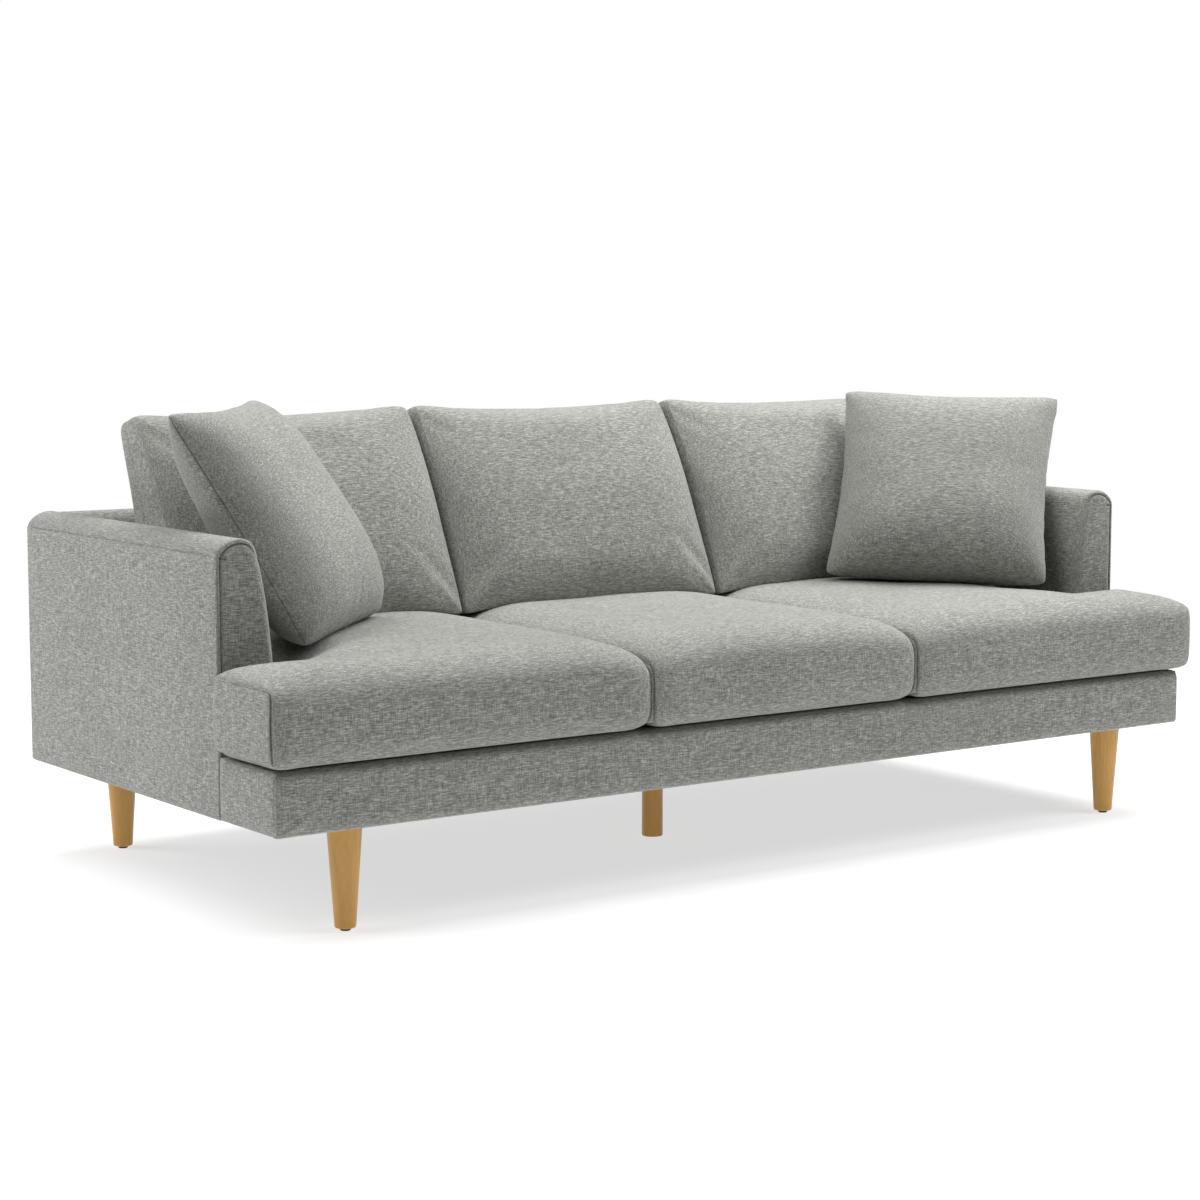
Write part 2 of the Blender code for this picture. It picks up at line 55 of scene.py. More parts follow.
ARM_FRONT_Y = ARM[0][1]
BASE_FRONT_Y = BASE[0][1]
BASE_BOTTOM_Z = ARM[0][2]
BASE_TOP_Z = BASE[1][2]
TOP_Z = ARM[1][2]
SIDE_FOOT = HALF_WIDTH + ARM[1][0]
SHOULDER_DROP = 0.0315                  # from the top to where the outer face starts to turn over
SHOULDER_Z = TOP_Z - SHOULDER_DROP
SIDE_TAPER = 0.71                       # how thick an arm or the back is at its top, as a share of its foot
SIDE_TOP = SIDE_TAPER * SIDE_FOOT
SKIN = 0.012                            # thickness of the cloth and padding over the base
TINY = 1e-9

CAMERA_PLACE = (-3.229, -4.376, 1.0737)
CAMERA_TURN = math.radians(-35.72)
CAMERA_PITCH = math.radians(6.25)
CAMERA_LENS, CAMERA_SENSOR = 80.1, 36.0


# ---- materials ------------------------------------------------------------------------
BLACK, WHITE = (0.0, 0.0, 0.0), (1.0, 1.0, 1.0)


class Graph:
    """A short way to build a node tree."""

    def __init__(self, name):
        self.mat = bpy.data.materials.new(name)
        self.mat.use_nodes = True
        self.tree = self.mat.node_tree
        self.shader = self.tree.nodes["Principled BSDF"]

    def node(self, kind, settings=None, **inputs):
        """Adds a node; an input is named by its socket, or i0, i1... by its number."""
        node = self.tree.nodes.new("ShaderNode" + kind)
        for key, value in (settings or {}).items():
            setattr(node, key, value)
        for key, value in inputs.items():
            numbered = key[0] == "i" and key[1:].isdigit()
            self.put(node.inputs[int(key[1:]) if numbered else key], value)
        return node

    def put(self, socket, value):
        if isinstance(value, bpy.types.NodeSocket):
            self.tree.links.new(value, socket)
        else:
            socket.default_value = value

    def math(self, operation, a, b=0.0):
        return self.node("Math", {"operation": operation}, i0=a, i1=b).outputs[0]

    def noise(self, vector, scale, detail=2.0, roughness=0.5, distortion=0.0):
        return self.node("TexNoise", Vector=vector, Scale=scale, Detail=detail, Roughness=roughness,
                         Distortion=distortion).outputs[0]

    def stretch(self, vector, scale):
        return self.node("VectorMath", {"operation": "MULTIPLY"}, i0=vector, i1=scale).outputs[0]

    def ramp(self, value, stops):
        node = self.node("ValToRGB", i0=value)
        elements = node.color_ramp.elements
        while len(elements) < len(stops):
            elements.new(0.5)
        for element, (position, colour) in zip(elements, stops):
            element.position = position
            element.color = (*colour, 1.0)
        return node.outputs[0]

    def pointed(self, low, high, share):
        """From 0 to share as an edge or a hollow passes from low to high."""
        pointiness = self.node("NewGeometry").outputs["Pointiness"]
        stops = sorted([(low, BLACK), (high, WHITE)])
        return self.math("MULTIPLY", self.ramp(pointiness, stops), share)

    def mix(self, share, a, b):
        return self.node("Mix", {"data_type": "RGBA"}, i0=share, i6=a, i7=b).outputs[2]

    def blend(self, share, a, b):
        """Two values added in the shares 1 - share and share."""
        return self.math("ADD", self.math("MULTIPLY", a, 1.0 - share), self.math("MULTIPLY", b, share))

    def bump(self, height, distance, strength):
        return self.node("Bump", Height=height, Distance=distance, Strength=strength).outputs[0]

    def finish(self, **values):
        for key, value in values.items():
            self.put(self.shader.inputs[key.replace("_", " ")], value)
        return self.mat


THREAD_SHARES = (1.0, 0.90, 0.60)       # how strongly the threads along x, y and z show
THREAD_ROUGHNESS = 0.6


def woven_value(g, coords, thickness, length, detail):
    """Threads along the piece's own axes: two directions cross on every face."""
    normal = g.node("NewGeometry").outputs["Normal"]
    local = g.node("VectorTransform", {"vector_type": "NORMAL", "convert_from": "WORLD",
                                       "convert_to": "OBJECT"}, i0=normal).outputs[0]
    split = g.node("SeparateXYZ", i0=local)
    total, weights = 0.0, 0.0
    for axis, strength in enumerate(THREAD_SHARES):
        facing = g.math("MULTIPLY", split.outputs[axis], split.outputs[axis])
        across = g.math("MULTIPLY", g.math("SUBTRACT", 1.0, facing), strength)
        scale = [1.0 / thickness] * 3
        scale[axis] = 1.0 / length
        threads = g.noise(g.stretch(coords, scale), 1.0, detail, THREAD_ROUGHNESS)
        total = g.math("ADD", g.math("MULTIPLY", across, threads), total)
        weights = g.math("ADD", across, weights)
    return g.math("DIVIDE", total, weights)


LINEN_SHADES = ((0.36, (0.143, 0.144, 0.132)), (0.46, (0.230, 0.232, 0.213)),
                (0.54, (0.331, 0.334, 0.309)), (0.66, (0.562, 0.566, 0.530)))
LINEN_FINE = (0.0014, 0.010, 1.0)       # thickness and length of the threads, and detail in them
LINEN_SLUBS = (0.0020, 0.018, 0.0)
SLUB_SHARE = 0.34
CLOUD_SCALE, CLOUD_DETAIL, CLOUD_SHARE = 5.0, 3.0, 0.05     # broad unevenness of the dye
LINEN_WORN = {"low": 0.50, "high": 0.60, "share": 0.20}
LINEN_WORN_TINT = (0.46, 0.46, 0.44, 1.0)
# Painted shade: the colour turns dark in concave seams and creases, where shadow falls.
LINEN_PAINTED_SHADE = {"low": 0.475, "high": 0.40, "share": 0.75}
LINEN_PAINTED_SHADE_TINT = (0.06, 0.06, 0.055, 1.0)
LINEN_BUMP = (0.0012, 0.6)              # distance and strength
LINEN_SHEEN = {"Sheen_Weight": 0.22, "Sheen_Roughness": 0.55}
LINEN_ROUGHNESS, LINEN_SPECULAR = 0.92, 0.18


def linen_material(name):
    """Heathered linen: fine crossed threads, longer slubs, paler on worn edges, and painted shade that
    darkens the seams and creases.
    """
    g = Graph(name)
    coords = g.node("TexCoord").outputs["Object"]
    weave = g.blend(SLUB_SHARE, woven_value(g, coords, *LINEN_FINE), woven_value(g, coords, *LINEN_SLUBS))
    cloud = g.math("SUBTRACT", g.noise(coords, CLOUD_SCALE, CLOUD_DETAIL), 0.5)
    value = g.math("ADD", weave, g.math("MULTIPLY", cloud, CLOUD_SHARE))
    colour = g.ramp(value, LINEN_SHADES)
    colour = g.mix(g.pointed(**LINEN_WORN), colour, LINEN_WORN_TINT)
    # painted shade in the seams and creases
    colour = g.mix(g.pointed(**LINEN_PAINTED_SHADE), colour, LINEN_PAINTED_SHADE_TINT)
    return g.finish(Base_Color=colour, Roughness=LINEN_ROUGHNESS, Normal=g.bump(value, *LINEN_BUMP),
                    Specular_IOR_Level=LINEN_SPECULAR, **LINEN_SHEEN)


BEECH_SHADES = ((0.30, (0.420, 0.180, 0.022)), (0.50, (0.585, 0.288, 0.042)), (0.68, (0.715, 0.388, 0.070)))
BEECH_GRAIN, BEECH_PORES, BEECH_BROAD = (55.0, 55.0, 3.2), (900.0, 900.0, 28.0), (14.0, 14.0, 2.0)
PORE_SHARE, BROAD_SHARE = 0.35, 0.30
BEECH_BROAD_TINT = (0.64, 0.32, 0.055, 1.0)
BEECH_WORN = {"low": 0.52, "high": 0.62, "share": 0.35}
BEECH_WORN_TINT = (0.76, 0.45, 0.13, 1.0)
BEECH_ROUGHNESS, PORE_ROUGHNESS = 0.34, 0.16
BEECH_BUMP = (0.0004, 0.5)
BEECH_FIGURE = {"detail": 4.0, "roughness": 0.6, "distortion": 0.6}
BEECH_COAT = {"Coat_Weight": 0.14, "Coat_Roughness": 0.30}


def beech_material(name):
    """Oiled beech: long grain, short pores, paler on worn edges."""
    g = Graph(name)
    coords = g.node("TexCoord").outputs["Object"]
    grain = g.noise(g.stretch(coords, BEECH_GRAIN), 1.0, **BEECH_FIGURE)
    pores = g.noise(g.stretch(coords, BEECH_PORES), 1.0, detail=1.0)
    broad = g.noise(g.stretch(coords, BEECH_BROAD), 1.0, detail=1.0)
    value = g.blend(PORE_SHARE, grain, pores)
    colour = g.mix(g.math("MULTIPLY", broad, BROAD_SHARE), g.ramp(value, BEECH_SHADES), BEECH_BROAD_TINT)
    colour = g.mix(g.pointed(**BEECH_WORN), colour, BEECH_WORN_TINT)
    rough = g.math("ADD", g.math("MULTIPLY", pores, PORE_ROUGHNESS), BEECH_ROUGHNESS)
    return g.finish(Base_Color=colour, Roughness=rough, Normal=g.bump(value, *BEECH_BUMP), **BEECH_COAT)


STREAK_STOPS = (0.3, 0.7)               # where in the grain the two shades lie
STREAK_ROUGHNESS = 0.2                  # how much the grain adds to the roughness
STREAK_BUMP = 0.6
STREAK_FIGURE = {"detail": 4.0, "roughness": 0.6, "distortion": 0.3}


def streaked_material(name, low, high, roughness, metallic, scale, bump):
    """Sawn timber, drawn wire, plating, felt and moulded plastic: one grain, two shades."""
    g = Graph(name)
    coords = g.node("TexCoord").outputs["Object"]
    value = g.noise(g.stretch(coords, scale), 1.0, **STREAK_FIGURE)
    rough = g.math("ADD", g.math("MULTIPLY", value, STREAK_ROUGHNESS), roughness)
    return g.finish(Base_Color=g.ramp(value, list(zip(STREAK_STOPS, (low, high)))), Roughness=rough,
                    Metallic=metallic, Normal=g.bump(value, bump, STREAK_BUMP))


LINEN = linen_material("linen_weave")
PLAIN = {
    # CAD material: name, two shades, roughness, metallic, grain along x, y and z, bump
    "frame_timber": ("sawn_pine", (0.36, 0.24, 0.12), (0.62, 0.46, 0.28),
                     0.62, 0.0, (60.0, 4.0, 60.0), 0.0006),
    "spring_steel": ("drawn_wire", (0.22, 0.22, 0.24), (0.48, 0.48, 0.50),
                     0.25, 1.0, (300.0, 300.0, 300.0), 0.0001),
    "bolt_steel": ("zinc_plate", (0.46, 0.44, 0.38), (0.70, 0.68, 0.62),
                   0.22, 1.0, (260.0, 260.0, 60.0), 0.0001),
    "lining": ("non_woven_lining", (0.010, 0.010, 0.010), (0.040, 0.040, 0.040),
               0.80, 0.0, (420.0, 420.0, 420.0), 0.0005),
    "glide_plastic": ("moulded_glide", (0.012, 0.012, 0.012), (0.040, 0.038, 0.036),
                      0.45, 0.0, (700.0, 700.0, 700.0), 0.0002),
}


def dress_cad_nodes():
    """Gives every carried-over CAD node its material; linen is on the replaced nodes only."""
    materials = {slot: streaked_material(*values) for slot, values in PLAIN.items()}
    materials["beech"] = beech_material("honey_beech")
    for part in frame["record"]["subparts"]:
        material = materials.get(part["material_slot"], LINEN)
        for slot in frame["nodes"][part["node"]].material_slots:
            slot.material = material


# ---- mesh helpers -----------------------------------------------------------------------
WELD = 0.00002                          # corners closer than this become one


def new_object(name, bm, material, matrix=None):
    mesh = bpy.data.meshes.new(name)
    bmesh.ops.recalc_face_normals(bm, faces=bm.faces)
    if bm.calc_volume(signed=True) < 0:
        bmesh.ops.reverse_faces(bm, faces=bm.faces)
    bm.to_mesh(mesh)
    bm.free()
    mesh.shade_smooth()
    mesh.materials.append(material)
    obj = bpy.data.objects.new(name, mesh)
    if matrix is not None:
        obj.matrix_world = matrix
    bpy.context.collection.objects.link(obj)
    return obj


def upholster(name, bm, *nodes):
    """A fixed piece of upholstery in place of the CAD nodes named."""
    piece = new_object(name, bm, LINEN)
    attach(piece, "root")
    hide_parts(*nodes)


def bezier(points, steps):
    order = len(points) - 1
    curve = []
    for k in range(steps):
        t = k / steps
        weights = [math.comb(order, i) * t**i * (1 - t)**(order - i) for i in range(order + 1)]
        curve.append(tuple(sum(w * p[axis] for w, p in zip(weights, points)) for axis in (0, 1)))
    return curve


def quarter(radius, count):
    """Points round a quarter circle: (inset, step back), from the face to the edge."""
    turns = [math.pi / 2 * k / count for k in range(count + 1)]
    return [(radius * (1 - math.cos(a)), radius * (1 - math.sin(a))) for a in turns]


def spaced(start, end, pitch):
    count = max(1, round(abs(end - start) / pitch))
    return [start + (end - start) * k / count for k in range(count + 1)]


def roll(distance, reach):
    """A quarter circle: 0 at an edge, 1 from reach inwards."""
    return math.sqrt(max(0.0, 1.0 - (1.0 - min(1.0, max(0.0, distance) / reach))**2))


def shrink(outline, inset):
    """The outline moved inwards by inset, along its own normals."""
    moved = []
    for i, (a, b) in enumerate(outline):
        before, after = outline[i - 1], outline[(i + 1) % len(outline)]
        da, db = after[0] - before[0], after[1] - before[1]
        length = math.hypot(da, db)
        moved.append((a + inset * db / length, b - inset * da / length))
    return moved


def lofted(rings):
    """Joins rings of equal length into a solid, closed at both ends."""
    bm = bmesh.new()
    loops = [[bm.verts.new(p) for p in ring] for ring in rings]
    for low, high in zip(loops, loops[1:]):
        for i in range(len(low)):
            j = (i + 1) % len(low)
            bm.faces.new((low[i], low[j], high[j], high[i]))
    for end in (loops[0], loops[-1]):
        bm.faces.new(end)
    bmesh.ops.remove_doubles(bm, verts=bm.verts, dist=WELD)
    return bm


def two_sheets(a_lines, b_lines, place):
    """Two grids sharing their rim, and the vertices by (i, j, front): place(a, b, front)."""
    bm, table = bmesh.new(), {}
    ends_a, ends_b = (0, len(a_lines) - 1), (0, len(b_lines) - 1)

    def vertex(i, j, front):
        key = (i, j, front or i in ends_a or j in ends_b)
        if key not in table:
            table[key] = bm.verts.new(place(a_lines[i], b_lines[j], front))
        return table[key]

    for front in (True, False):
        for i in range(ends_a[1]):
            for j in range(ends_b[1]):
                cell = ((i, j), (i + 1, j), (i + 1, j + 1), (i, j + 1))
                bm.faces.new([vertex(*corner, front) for corner in cell])
    bm.verts.index_update()
    return bm, table


SEAM_DEPTH, SEAM_HALF = 0.0030, 0.0026
SEAM_SWELL, SEAM_SWELL_AT, SEAM_SWELL_HALF = 0.0009, 0.011, 0.008
WAVE_COARSE, WAVE_FINE, FINE_SHARE = 6.0, 15.0, 0.25    # fineness of the two waves, the second's share
WAVE_ALONG = 0.5                        # how much of a wave shows in the surface's second direction


def seam_sink(distance):
    """How far the cloth sinks at a stitched seam, and how it swells beside it."""
    beside = (abs(distance) - SEAM_SWELL_AT) / SEAM_SWELL_HALF
    return SEAM_DEPTH * math.exp(-(distance / SEAM_HALF)**2) - SEAM_SWELL * math.exp(-beside**2)


def unevenness(point, amount, seed=0.0):
    """The slight waviness of cloth over padding."""
    p = Vector(point)
    return amount * (noise.noise(p * WAVE_COARSE + Vector((seed, 0, 0)))
                     + FINE_SHARE * noise.noise(p * WAVE_FINE + Vector((0, seed, 0))))


# ---- upholstered body ---------------------------------------------------------------------
BODY_PITCH = 0.014
SEAM_Z = SHOULDER_Z + 0.002             # height of the seam along the outer shoulder
SEAM_LINES = (0.014, 0.008, 0.004, 0.002)   # grid lines below it
FOOT_EASE = 0.004                       # how far the bottom edges are eased
# The section's curves as (depth in from the outer face, height above the shoulder)
DOME = ((0.0, 0.0), (0.005, 0.031), (0.075, 0.055), (SIDE_TOP, -0.005))
INNER_BEND = (SIDE_FOOT - 0.008, -0.105)
DOME_STEPS, INNER_STEPS = 40, 26
FLAT_RIM = 0.001                        # width of the flat rim round an end panel

ARM_FRONT_EDGE = 0.006                  # radius where the side panel turns in to the front seam
ARM_FRONT_ROLL = 0.019                  # radius where the front runs on round to the inner face
ARM_FRONT_STEPS = 6
PANEL_PROUD = 0.0012                    # how far the front panel stands out
FRONT_SEAM = ((0.0070, 0.0010), (0.0080, 0.0036), (0.0090, 0.0036), (0.0100, 0.0010),
              (0.0125, -0.0008), (ARM_FRONT_ROLL, -PANEL_PROUD))   # (inset, step back) across the seam
SEAM_FROM = 0.80                        # the seam gives way to the plain edge from here across the top
ARM_BACK_EDGE = 0.008
ARM_BACK_STEPS = 5
BACK_GAP = 0.0015                       # between an arm's cloth and the CAD's back plane

COVERED_Z = 0.32                        # the seat cushions hide the body below this
OUTER_SKIN = 0.02                       # depth counted as the outer face
SIDE_SWELL = 0.0028
SIDE_FLAT = (4, 6)                      # how level the swell stays towards the edges, up and along
SIDE_WAVE, TOP_WAVE = 0.0009, 0.0011
SIDE_SEED, ARM_TOP_SEED, BACK_TOP_SEED = 3.0, 8.0, 15.0
END_CLEAR = 0.012                       # the end seams' own zone, left as it is


def side_outline():
    """Section through an arm or the back: (depth in from the outer face, height)."""
    dome = [(depth, SHOULDER_Z + up) for depth, up in DOME]
    bend = (INNER_BEND[0], SHOULDER_Z + INNER_BEND[1])
    low = BASE_BOTTOM_Z + FOOT_EASE
    outline = [(0.0, z) for z in spaced(low, SEAM_Z - SEAM_LINES[0], BODY_PITCH)]
    outline += [(0.0, SEAM_Z - step) for step in SEAM_LINES[1:]]
    outline += bezier(dome, DOME_STEPS)
    outline += bezier([dome[-1], bend, (SIDE_FOOT, BASE_TOP_Z)], INNER_STEPS)
    outline += [(SIDE_FOOT, z) for z in spaced(BASE_TOP_Z, low, BODY_PITCH)]
    outline += [(depth, BASE_BOTTOM_Z) for depth in spaced(SIDE_FOOT - FOOT_EASE, FOOT_EASE, BODY_PITCH)]
    return outline


def inset_ring(outline, inset):
    """The section moved inwards, its square bottom corners kept from folding over."""
    return [(min(max(depth, inset), SIDE_FOOT - inset), max(z, BASE_BOTTOM_Z + inset))
            for depth, z in shrink(outline, inset)]


def arm_front_rings():
    """From the arm's side to its front: (inset, step back) at the seamed edge and at the plain one."""
    seamed = quarter(ARM_FRONT_EDGE, ARM_FRONT_STEPS) + list(FRONT_SEAM)
    plain = [(inset, step - PANEL_PROUD * (1 - step / ARM_FRONT_ROLL))
             for inset, step in quarter(ARM_FRONT_ROLL, len(seamed) - 1)]
    return list(zip(seamed, plain))


def front_ring(outline, seamed, plain):
    """One ring of the arm's front: seamed over the outside and top, rolled along the inner face."""
    ring = []
    for (depth, _), a, b in zip(outline, inset_ring(outline, seamed[0]), inset_ring(outline, plain[0])):
        share = min(1.0, max(0.0, (depth / SIDE_TOP - SEAM_FROM) / (1.0 - SEAM_FROM)))
        step = seamed[1] + (plain[1] - seamed[1]) * share
        ring.append((a[0] + (b[0] - a[0]) * share, ARM_FRONT_Y + step, a[1] + (b[1] - a[1]) * share))
    return ring


def arm_rings():
    """Sections of an arm from its front panel to its back, as (depth, y, height)."""
    outline = side_outline()
    rings = [[(depth, ARM_FRONT_Y - PANEL_PROUD, z)
              for depth, z in inset_ring(outline, ARM_FRONT_ROLL + FLAT_RIM)]]
    rings += [front_ring(outline, seamed, plain) for seamed, plain in reversed(arm_front_rings())]
    for y in spaced(ARM_FRONT_Y + 2 * END_CLEAR, BACK_Y - END_CLEAR, BODY_PITCH):
        rings.append([(depth, y, z) for depth, z in outline])
    ends = quarter(ARM_BACK_EDGE, ARM_BACK_STEPS)[1:] + [(ARM_BACK_EDGE + FLAT_RIM, 0.0)]
    for inset, step in ends:
        rings.append([(depth, BACK_Y - BACK_GAP - step, z) for depth, z in inset_ring(outline, inset)])
    return rings


def pad_arm(bm, sign):
    """Sinks the shoulder seam, swells the side panel and makes the top slightly uneven."""
    middle_y, half_y = (BACK_Y + ARM_FRONT_Y) / 2, (BACK_Y - ARM_FRONT_Y) / 2
    middle_z, half_z = (BASE_BOTTOM_Z + SEAM_Z) / 2, (SEAM_Z - BASE_BOTTOM_Z) / 2
    for v in bm.verts:
        x, y, z = v.co
        if not ARM_FRONT_Y + END_CLEAR < y < BACK_Y - END_CLEAR:
            continue
        if HALF_WIDTH - sign * x < OUTER_SKIN:
            across, along = (z - middle_z) / half_z, (y - middle_y) / half_y
            swell = SIDE_SWELL * max(0.0, 1 - across**SIDE_FLAT[0]) * max(0.0, 1 - along**SIDE_FLAT[1])
            v.co.x += sign * (swell - seam_sink(z - SEAM_Z) + unevenness(v.co, SIDE_WAVE, SIDE_SEED))
        elif z > COVERED_Z:
            wave = unevenness(v.co, TOP_WAVE, ARM_TOP_SEED)
            v.co.x -= sign * wave
            v.co.z += wave * WAVE_ALONG


def build_arm(side, sign):
    rings = [[(sign * (HALF_WIDTH - depth), y, z) for depth, y, z in ring] for ring in arm_rings()]
    bm = lofted(rings)
    pad_arm(bm, sign)
    upholster("arm_upholstery_" + side, bm, "arm_cover_" + side, "arm_front_panel_" + side)


BACK_IN_ARM = 0.055
BACK_REACH = HALF_WIDTH - BACK_IN_ARM   # the back's cloth ends inside the arms
OUTER_BACK_SINK = 0.0035                # the wall stands back by this for the panel sewn over it


def build_back():
    """The low back between the arms: inner face, rounded top, and the wall below it."""
    outline = side_outline()
    bm = lofted([[(x, BACK_Y - depth, z) for depth, z in outline]
                 for x in spaced(-BACK_REACH, BACK_REACH, BODY_PITCH)])
    for v in bm.verts:
        x, y, z = v.co
        if BACK_Y - y < OUTER_SKIN:
            v.co.y -= seam_sink(z - SEAM_Z) + (OUTER_BACK_SINK if z < SEAM_Z - SEAM_LINES[2] else 0.0)
        elif z > COVERED_Z:
            wave = unevenness(v.co, TOP_WAVE, BACK_TOP_SEED)
            v.co.y -= wave
            v.co.z += wave * WAVE_ALONG
    upholster("back_upholstery", bm, "back_cover")


PANEL_EDGE, PANEL_STEPS = 0.004, 4      # radius of a sewn panel's rolled edges, and grid lines over them
PANEL_FLAT = 4                          # how level its swell stays towards the edges
PANEL_WAVE = 0.0010
OUTER_BACK_SEED, BASE_SIDE_SEED = 5.0, 9.0
OUTER_BACK = {"thickness": 0.0030, "bulge": 0.0035, "pitch": 0.03, "behind": 0.0050, "inset": 0.009}
BASE_SIDE = {"thickness": 0.0045, "bulge": 0.0035, "pitch": 0.012, "behind": 0.006}


def panel_lines(low, high, pitch):
    """Grid lines over a panel, close together where its edges roll over."""
    steps = [inset for inset, _ in quarter(PANEL_EDGE, PANEL_STEPS)][:-1]
    inner = spaced(low + PANEL_EDGE, high - PANEL_EDGE, pitch)
    return [low + s for s in steps] + inner + [high - s for s in reversed(steps)]


def puffed_panel(wide, tall, sizes, place, seed):
    """A sewn flat panel: a closed slab with rolled edges and a slight swell.

    place(a, b, out) gives the 3-D point for a across, b up and out from the face.
    """
    def point(a, b, front):
        gap = min(a - wide[0], wide[1] - a, b - tall[0], tall[1] - b)
        u = 2 * (a - wide[0]) / (wide[1] - wide[0]) - 1
        v = 2 * (b - tall[0]) / (tall[1] - tall[0]) - 1
        swell = sizes["bulge"] * math.sqrt(max(0.0, (1 - u**PANEL_FLAT) * (1 - v**PANEL_FLAT)))
        rise = (sizes["thickness"] + unevenness((a, b, seed), PANEL_WAVE)) * roll(gap, PANEL_EDGE)
        return place(a, b, swell + rise if front else 0.0)

    lines = [panel_lines(*span, sizes["pitch"]) for span in (wide, tall)]
    return two_sheets(*lines, point)[0]


def build_outer_back_panel():
    reach = HALF_WIDTH - OUTER_BACK["inset"]
    bm = puffed_panel((-reach, reach), (BASE_BOTTOM_Z + FLAT_RIM, SHOULDER_Z - FLAT_RIM), OUTER_BACK,
                      lambda a, b, out: (a, BACK_Y - OUTER_BACK["behind"] + out, b), OUTER_BACK_SEED)
    upholster("outer_back_panel", bm, "back_cover")


def build_base_side(side, sign):
    span = (BASE_FRONT_Y + PANEL_EDGE, ARM_FRONT_Y - FLAT_RIM / 2)
    bm = puffed_panel(span, (BASE_BOTTOM_Z + FLAT_RIM, BASE_TOP_Z - 2 * FLAT_RIM), BASE_SIDE,
                      lambda a, b, out: (sign * (HALF_WIDTH - BASE_SIDE["behind"] + out), a, b),
                      BASE_SIDE_SEED + sign)
    upholster("base_side_upholstery_" + side, bm, "base_side_cover_" + side)


BASE_ROUNDING = 0.016                   # radius of the base's top front edge
BASE_ROUNDING_STEPS = 9
BASE_END_EDGE, BASE_END_STEPS = 0.004, 3
BASE_SWELL, BASE_WAVE, BASE_SEED = 0.0030, 0.0012, 21.0
BASE_FLAT = (20, 4)                     # how level the swell stays towards the ends, and up and down
BASE_PITCH = 0.018


def base_outline():
    """Section through the base's front: rounded top edge and the strip behind it."""
    front, top, back = BASE_FRONT_Y, BASE_TOP_Z - FLAT_RIM, ARM_FRONT_Y - 2 * FLAT_RIM
    low = BASE_BOTTOM_Z + FOOT_EASE
    outline = [(front, z) for z in spaced(low, top - BASE_ROUNDING, BASE_PITCH / 2)[:-1]]
    outline += [(front + inset, top - step) for inset, step in quarter(BASE_ROUNDING, BASE_ROUNDING_STEPS)]
    outline += [(y, top) for y in spaced(front + BASE_ROUNDING, back, BASE_PITCH)[1:]]
    outline += [(y, top - SKIN) for y in spaced(back, front + SKIN, BASE_PITCH)]
    outline += [(front + SKIN, z) for z in spaced(top - SKIN, BASE_BOTTOM_Z, BASE_PITCH)[1:]]
    outline.append((front + FOOT_EASE, BASE_BOTTOM_Z))
    return outline


def build_base_front():
    reach = HALF_WIDTH - BACK_GAP
    outline = base_outline()
    ends = [(reach - step, inset) for inset, step in quarter(BASE_END_EDGE, BASE_END_STEPS)]
    sections = [(x, 0.0) for x in spaced(-reach + 2 * BASE_END_EDGE, reach - 2 * BASE_END_EDGE, BASE_PITCH)]
    sections = [(-x, inset) for x, inset in reversed(ends)] + sections + ends
    bm = lofted([[(x, y, z) for y, z in shrink(outline, inset)] for x, inset in sections])
    middle, half = (BASE_BOTTOM_Z + BASE_TOP_Z) / 2, (BASE_TOP_Z - BASE_BOTTOM_Z) / 2
    for v in bm.verts:
        if v.co.y < BASE_FRONT_Y + FOOT_EASE:
            along, across = v.co.x / reach, (v.co.z - middle) / half
            wave = unevenness(v.co, BASE_WAVE, BASE_SEED)
            swell = BASE_SWELL * max(0.0, 1 - along**BASE_FLAT[0]) - wave
            v.co.y -= swell * max(0.0, 1 - across**BASE_FLAT[1])
    upholster("base_front_upholstery", bm, "base_front_cover")


# ---- cushions -----------------------------------------------------------------------------
CLOTH_PITCH = 0.014
CLOTH_FINE = (0.003, 0.008)             # where the extra grid lines beside an edge lie
CLOTH_FRAMES = 14
CLOTH_SETTINGS = {
    "quality": 5, "mass": 0.35, "air_damping": 2.0,
    "tension_stiffness": 15.0, "compression_stiffness": 15.0, "shear_stiffness": 5.0,
    "bending_stiffness": 0.5, "use_pressure": True, "uniform_pressure_force": 3.0,
    "vertex_group_mass": "pinned",
}
SEAM_FALLOFF = 1.5                      # how quickly a seam's furrow fades beside it
# How far the cloth may swell, and how deep the seams sink
SEAT_SEWING = {"cap": 0.008, "seam_depth": 0.0035}
BACK_SEWING = {"cap": 0.010, "seam_depth": 0.003}
SCATTER_SEWING = {"cap": 0.010, "seam_depth": 0.004}


def edge_lines(low, high, pitch=CLOTH_PITCH, fine=CLOTH_FINE):
    """Grid lines between low and high, closer together at both ends."""
    inner = spaced(low + fine[-1], high - fine[-1], pitch)
    return [low] + [low + f for f in fine[:-1]] + inner + [high - f for f in reversed(fine[:-1])] + [high]


def box_surface(lines, cells):
    """A closed grid over the cells kept, with its vertices by place and its edge's sides."""
    x_lines, y_lines, z_lines = lines
    bm, table, rim = bmesh.new(), {}, {}
    top = len(z_lines) - 1

    def vertex(i, j, k):
        if (i, j, k) not in table:
            table[i, j, k] = bm.verts.new((x_lines[i], y_lines[j], z_lines[k]))
        return table[i, j, k]

    for i, j in sorted(cells):
        cell = [(i, j), (i + 1, j), (i + 1, j + 1), (i, j + 1)]
        bm.faces.new([vertex(*corner, 0) for corner in reversed(cell)])
        bm.faces.new([vertex(*corner, top) for corner in cell])
        for a, b in zip(cell, cell[1:] + cell[:1]):
            if rim.pop((b, a), None) is None:
                rim[a, b] = True
    for a, b in rim:
        for k in range(top):
            bm.faces.new((vertex(*a, k), vertex(*b, k), vertex(*b, k + 1), vertex(*a, k + 1)))
    bm.verts.index_update()
    return bm, table, list(rim)


